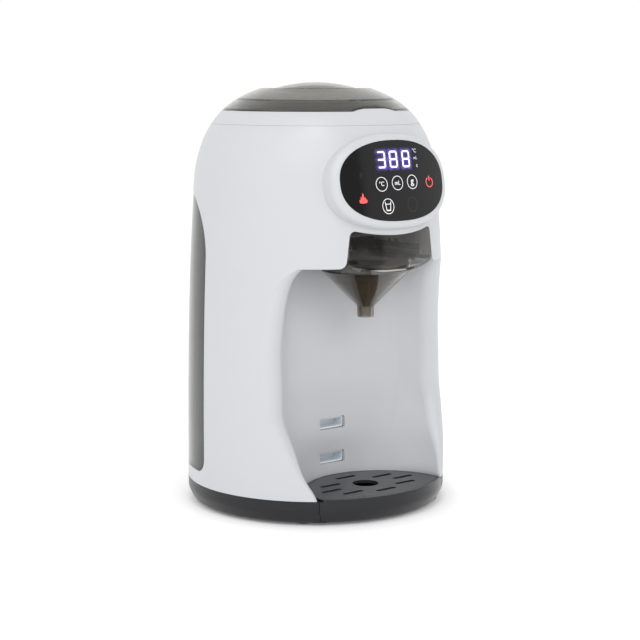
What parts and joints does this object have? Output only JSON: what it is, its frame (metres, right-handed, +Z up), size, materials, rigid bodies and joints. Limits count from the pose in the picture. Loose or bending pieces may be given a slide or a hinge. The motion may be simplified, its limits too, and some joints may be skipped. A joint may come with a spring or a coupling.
{
  "type": "baby formula maker",
  "caption": "Round counter-top machine that doses milk powder and warm water into a bottle, with a lift-out tank, powder container, funnel and drip tray.",
  "frame": {"origin": "on the body's axis, on the table under the feet", "axes": "+Z up, -Y the front with the bottle bay, +X to the right seen from the front"},
  "size_m": [0.2024, 0.2024, 0.3265],
  "materials": {
    "white_shell": "smooth moulded plastic, satin sheen",
    "black_base": "fine moulded texture",
    "black_grate": "smooth, glossy",
    "black_rubber": "soft matte",
    "steel": "zinc plated",
    "circuit_board": "solder mask with parts on it",
    "grey_inner": "plain moulded plastic",
    "bronze": "sintered bronze",
    "gear_plastic": "natural white plastic",
    "motor_steel": "plain steel can",
    "boiler_steel": "stainless steel",
    "silicone_hose": "soft translucent",
    "gloss_panel": "mirror-smooth black",
    "led_module": "lit digits behind the panel",
    "smoked_clear": "smoked clear plastic, glossy",
    "smoked_tank": "smoked clear plastic, glossy",
    "clear_container": "clear grey plastic",
    "white_float": "plain"
  },
  "bodies": {
    "root": {"outer_shell": "white_shell", "top_collar": "white_shell", "pocket_liner": "white_shell", "base_pan": "black_base", "rubber_feet": "black_rubber", "base_screws": "steel", "deck_screws": "steel", "power_inlet": "black_base", "power_board": "circuit_board", "main_board": "circuit_board", "display_board": "circuit_board", "tank_bay": "grey_inner", "tank_port": "grey_inner", "level_sensor": "black_base", "powder_deck": "grey_inner", "drive_bracket": "grey_inner", "shaft_bushes": "bronze", "stir_motor": "motor_steel", "powder_chute": "smoked_clear", "water_nozzle": "black_rubber", "boiler": "boiler_steel", "boiler_clamps": "steel", "thermostat": "black_base", "temp_sensor": "steel", "pump_housing": "grey_inner", "pump_motor": "motor_steel", "pump_feet": "black_rubber", "feed_hose": "silicone_hose", "boiler_hose": "silicone_hose", "nozzle_hose": "silicone_hose", "board_posts": "grey_inner", "display_panel": "gloss_panel", "display_frame": "black_base", "led_digits": "led_module", "touch_springs": "steel"},
    "container": {"powder_container": "clear_container", "outlet_scraper": "gear_plastic"},
    "stirrer": {"stirring_paddle": "gear_plastic", "dosing_disc": "gear_plastic"},
    "lid": {"powder_lid": "smoked_clear", "lid_seal": "black_rubber"},
    "gear": {"drive_gear": "gear_plastic"},
    "pinion": {"motor_pinion": "gear_plastic"},
    "rotor": {"pump_rotor": "gear_plastic"},
    "tank": {"water_tank": "smoked_tank"},
    "cap": {"tank_cap": "black_base"},
    "valve": {"tank_valve": "black_rubber"},
    "float": {"tank_float": "white_float"},
    "funnel_unit": {"funnel": "smoked_clear", "funnel_cover": "smoked_clear"},
    "tray": {"drip_tray": "black_base"},
    "grate": {"drip_grate": "black_grate"}
  },
  "joints": [
    {"name": "container_lift", "type": "slide", "parent": "root", "child": "container", "axis": [0, 0, 1], "range_m": [0, 0.12]},
    {"name": "lid_lift", "type": "slide", "parent": "container", "child": "lid", "axis": [0, 0, 1], "range_m": [0, 0.08]},
    {"name": "drive_gear_spin", "type": "hinge", "parent": "root", "child": "gear", "pos_m": [0, 0, 0.24], "axis": [0, 0, 1], "continuous": true},
    {"name": "stirrer_spin", "type": "hinge", "parent": "container", "child": "stirrer", "pos_m": [0, 0, 0.26], "axis": [0, 0, 1], "continuous": true},
    {"name": "pinion_spin", "type": "hinge", "parent": "root", "child": "pinion", "pos_m": [-0.02884, -0.00827, 0.24], "axis": [0, 0, 1], "continuous": true},
    {"name": "pump_rotor_spin", "type": "hinge", "parent": "root", "child": "rotor", "pos_m": [-0.062, -0.004, 0.05], "axis": [0, 0, 1], "continuous": true},
    {"name": "tank_slide", "type": "slide", "parent": "root", "child": "tank", "axis": [0, 1, 0], "range_m": [0, 0.13]},
    {"name": "cap_turn", "type": "hinge", "parent": "tank", "child": "cap", "pos_m": [0, 0.0755, 0.244], "axis": [0, 0, 1], "range_deg": [0, 90]},
    {"name": "valve_plunge", "type": "slide", "parent": "tank", "child": "valve", "axis": [0, 1, 0], "range_m": [0, 0.004], "stiffness_N_per_m": 120},
    {"name": "float_rise", "type": "slide", "parent": "tank", "child": "float", "axis": [0, 0, 1], "range_m": [0, 0.022]},
    {"name": "funnel_slide", "type": "slide", "parent": "root", "child": "funnel_unit", "axis": [0, -1, 0], "range_m": [0, 0.1]},
    {"name": "tray_slide", "type": "slide", "parent": "root", "child": "tray", "axis": [0, -1, 0], "range_m": [0, 0.09]},
    {"name": "grate_lift", "type": "slide", "parent": "tray", "child": "grate", "axis": [0, 0, 1], "range_m": [0, 0.05]}
  ],
  "couplings": [
    {"joint": "stirrer_spin", "follows": "drive_gear_spin", "ratio": 1},
    {"joint": "pinion_spin", "follows": "drive_gear_spin", "ratio": -4}
  ]
}
